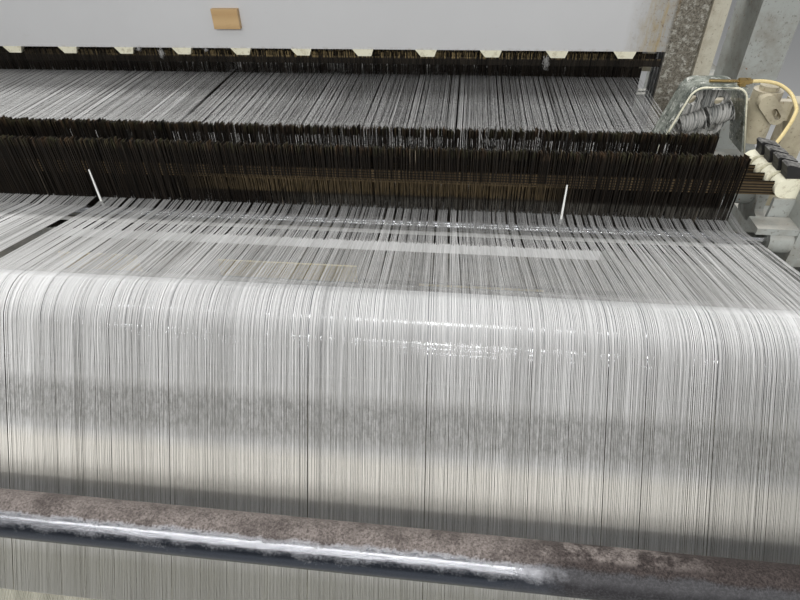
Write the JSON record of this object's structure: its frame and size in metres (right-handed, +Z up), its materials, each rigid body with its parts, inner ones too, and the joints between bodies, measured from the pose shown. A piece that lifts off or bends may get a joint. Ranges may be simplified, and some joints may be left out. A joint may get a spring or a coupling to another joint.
{
  "type": "power loom",
  "caption": "Wide shuttleless power loom with twin warp beams, back-rest roller, drop wires, heald frames, reed and cloth take-up between two cast side frames.",
  "frame": {"origin": "on the floor under the middle of the machine", "axes": "+X across the cloth to the right as seen from the warp side, +Y from the warp beams towards the cloth side, +Z up"},
  "size_m": [3.024, 1.86, 1.25],
  "materials": {
    "casting_grey": "satin enamel, dusty",
    "cream_paint": "satin enamel, stained and chipped",
    "stave_paint": "light grey enamel with rust stains at the ends",
    "guard_steel": "polished where hands rub, rust and dust on top",
    "bright_steel": "ground steel",
    "chrome": "polished chrome plate",
    "cast_iron": "oily cast iron",
    "aluminium": "dull anodised",
    "drop_wire_steel": "blued steel strip, dark with oil and lint",
    "heddle_steel": "dark steel strip",
    "holder_plastic": "cream moulded plastic",
    "black_plastic": "black moulded plastic",
    "white_plastic": "white moulded plastic",
    "clear_plastic": "clear plastic, dirty and scratched",
    "hose_plastic": "yellowed translucent tube",
    "gearbox_paint": "aged cream-tan enamel",
    "brass": "machined brass",
    "wood": "oiled hardwood",
    "warp_yarn": "sized grey-white yarn",
    "cloth": "plain-woven grey cloth",
    "rubber": "green-black gripping cover",
    "red_button": "moulded",
    "green_button": "moulded"
  },
  "bodies": {
    "root": {"side_frames": "casting_grey", "cross_beams": "cream_paint", "uprights": "casting_grey", "heald_guides": "cream_paint", "centre_bearing": "casting_grey", "guard_tube": "guard_steel", "guide_rods": "chrome", "stop_motion_brackets": "casting_grey", "drop_wires_1": "drop_wire_steel", "drop_wires_2": "drop_wire_steel", "drop_wires_3": "drop_wire_steel", "drop_wires_4": "drop_wire_steel", "contact_bar_holders": "holder_plastic", "holder_caps": "black_plastic", "divider_pins": "white_plastic", "leno_housings": "gearbox_paint", "leno_guards": "clear_plastic", "air_fitting": "brass", "air_hose": "hose_plastic", "warp_left": "warp_yarn", "warp_right": "warp_yarn", "cloth": "cloth", "breast_beam": "cream_paint", "temples": "bright_steel", "let_off_gearboxes": "casting_grey", "take_up_gearbox": "casting_grey", "drive_motor": "cast_iron", "drive_cover": "casting_grey", "control_panel": "cream_paint"},
    "easing": {"easing_shaft": "bright_steel", "easing_levers": "casting_grey"},
    "back_rest": {"back_rest_roller": "chrome"},
    "beam_left": {"warp_beam_left": "aluminium", "beam_yarn_left": "warp_yarn"},
    "beam_right": {"warp_beam_right": "aluminium", "beam_yarn_right": "warp_yarn"},
    "pinion_left": {"let_off_pinion_left": "cast_iron"},
    "pinion_right": {"let_off_pinion_right": "cast_iron"},
    "heald_1": {"heald_frame_1": "aluminium", "heddles_1": "heddle_steel"},
    "heald_2": {"heald_frame_2": "aluminium", "heddles_2": "heddle_steel"},
    "heald_3": {"heald_frame_3": "aluminium", "heddles_3": "heddle_steel"},
    "heald_4": {"heald_frame_4": "stave_paint", "heddles_4": "heddle_steel", "heddle_hooks": "holder_plastic", "wear_block": "wood"},
    "sley": {"sley_shaft": "bright_steel", "sley": "casting_grey", "reed": "bright_steel", "nozzles": "brass"},
    "take_up": {"take_up_roller": "rubber"},
    "press": {"press_roller": "bright_steel"},
    "cloth_roll": {"cloth_roll": "cloth"},
    "handwheel": {"handwheel": "black_plastic"},
    "start_button": {"start_button": "green_button"},
    "stop_button": {"stop_button": "red_button"},
    "leno_left": {"leno_disc_left": "holder_plastic"},
    "leno_right": {"leno_disc_right": "holder_plastic"}
  },
  "joints": [
    {"name": "easing_swing", "type": "hinge", "parent": "root", "child": "easing", "pos_m": [0, -0.41, 0.83], "axis": [1, 0, 0], "range_deg": [0, 2], "stiffness_Nm_per_rad": 60000, "springref_deg": -1.15},
    {"name": "back_rest_spin", "type": "hinge", "parent": "easing", "child": "back_rest", "pos_m": [0, -0.59, 0.91], "axis": [1, 0, 0], "continuous": true},
    {"name": "beam_left_spin", "type": "hinge", "parent": "root", "child": "beam_left", "pos_m": [0, -0.6, 0.5], "axis": [1, 0, 0], "continuous": true},
    {"name": "beam_right_spin", "type": "hinge", "parent": "root", "child": "beam_right", "pos_m": [0, -0.6, 0.5], "axis": [1, 0, 0], "continuous": true},
    {"name": "pinion_left_spin", "type": "hinge", "parent": "root", "child": "pinion_left", "pos_m": [0, -0.35058, 0.356], "axis": [1, 0, 0], "continuous": true},
    {"name": "pinion_right_spin", "type": "hinge", "parent": "root", "child": "pinion_right", "pos_m": [0, -0.35058, 0.356], "axis": [1, 0, 0], "continuous": true},
    {"name": "heald_4_lift", "type": "slide", "parent": "root", "child": "heald_4", "axis": [0, 0, 1], "range_m": [0, 0.075]},
    {"name": "heald_3_lift", "type": "slide", "parent": "root", "child": "heald_3", "axis": [0, 0, 1], "range_m": [-0.075, 0]},
    {"name": "heald_2_lift", "type": "slide", "parent": "root", "child": "heald_2", "axis": [0, 0, 1], "range_m": [0, 0.075]},
    {"name": "heald_1_lift", "type": "slide", "parent": "root", "child": "heald_1", "axis": [0, 0, 1], "range_m": [-0.075, 0]},
    {"name": "sley_rock", "type": "hinge", "parent": "root", "child": "sley", "pos_m": [0, 0.56, 0.42], "axis": [1, 0, 0], "range_deg": [-6.5, 0]},
    {"name": "take_up_spin", "type": "hinge", "parent": "root", "child": "take_up", "pos_m": [0, 0.77, 0.74], "axis": [1, 0, 0], "continuous": true},
    {"name": "press_spin", "type": "hinge", "parent": "root", "child": "press", "pos_m": [0, 0.66868, 0.6815], "axis": [1, 0, 0], "continuous": true},
    {"name": "cloth_roll_spin", "type": "hinge", "parent": "root", "child": "cloth_roll", "pos_m": [0, 0.78, 0.34], "axis": [1, 0, 0], "continuous": true},
    {"name": "handwheel_spin", "type": "hinge", "parent": "root", "child": "handwheel", "pos_m": [0, 0.41, 0.45], "axis": [1, 0, 0], "continuous": true},
    {"name": "start_press", "type": "slide", "parent": "root", "child": "start_button", "axis": [0, -1, 0], "range_m": [0, 0.004], "stiffness_N_per_m": 400, "springref_m": -0.002},
    {"name": "stop_press", "type": "slide", "parent": "root", "child": "stop_button", "axis": [0, -1, 0], "range_m": [0, 0.004], "stiffness_N_per_m": 400, "springref_m": -0.002},
    {"name": "leno_left_spin", "type": "hinge", "parent": "root", "child": "leno_left", "pos_m": [-1.056, -0.03, 1.003], "axis": [0, 1, 0], "continuous": true},
    {"name": "leno_right_spin", "type": "hinge", "parent": "root", "child": "leno_right", "pos_m": [1.056, -0.03, 1.003], "axis": [0, 1, 0], "continuous": true}
  ],
  "couplings": [
    {"joint": "pinion_left_spin", "follows": "beam_left_spin", "ratio": -5},
    {"joint": "pinion_right_spin", "follows": "beam_right_spin", "ratio": -5},
    {"joint": "heald_3_lift", "follows": "heald_4_lift", "ratio": -1},
    {"joint": "heald_2_lift", "follows": "heald_4_lift", "ratio": 1},
    {"joint": "heald_1_lift", "follows": "heald_4_lift", "ratio": -1},
    {"joint": "press_spin", "follows": "take_up_spin", "ratio": -2.2857},
    {"joint": "cloth_roll_spin", "follows": "take_up_spin", "ratio": -0.53333},
    {"joint": "leno_left_spin", "follows": "handwheel_spin", "ratio": 0.5},
    {"joint": "leno_right_spin", "follows": "handwheel_spin", "ratio": 0.5}
  ]
}
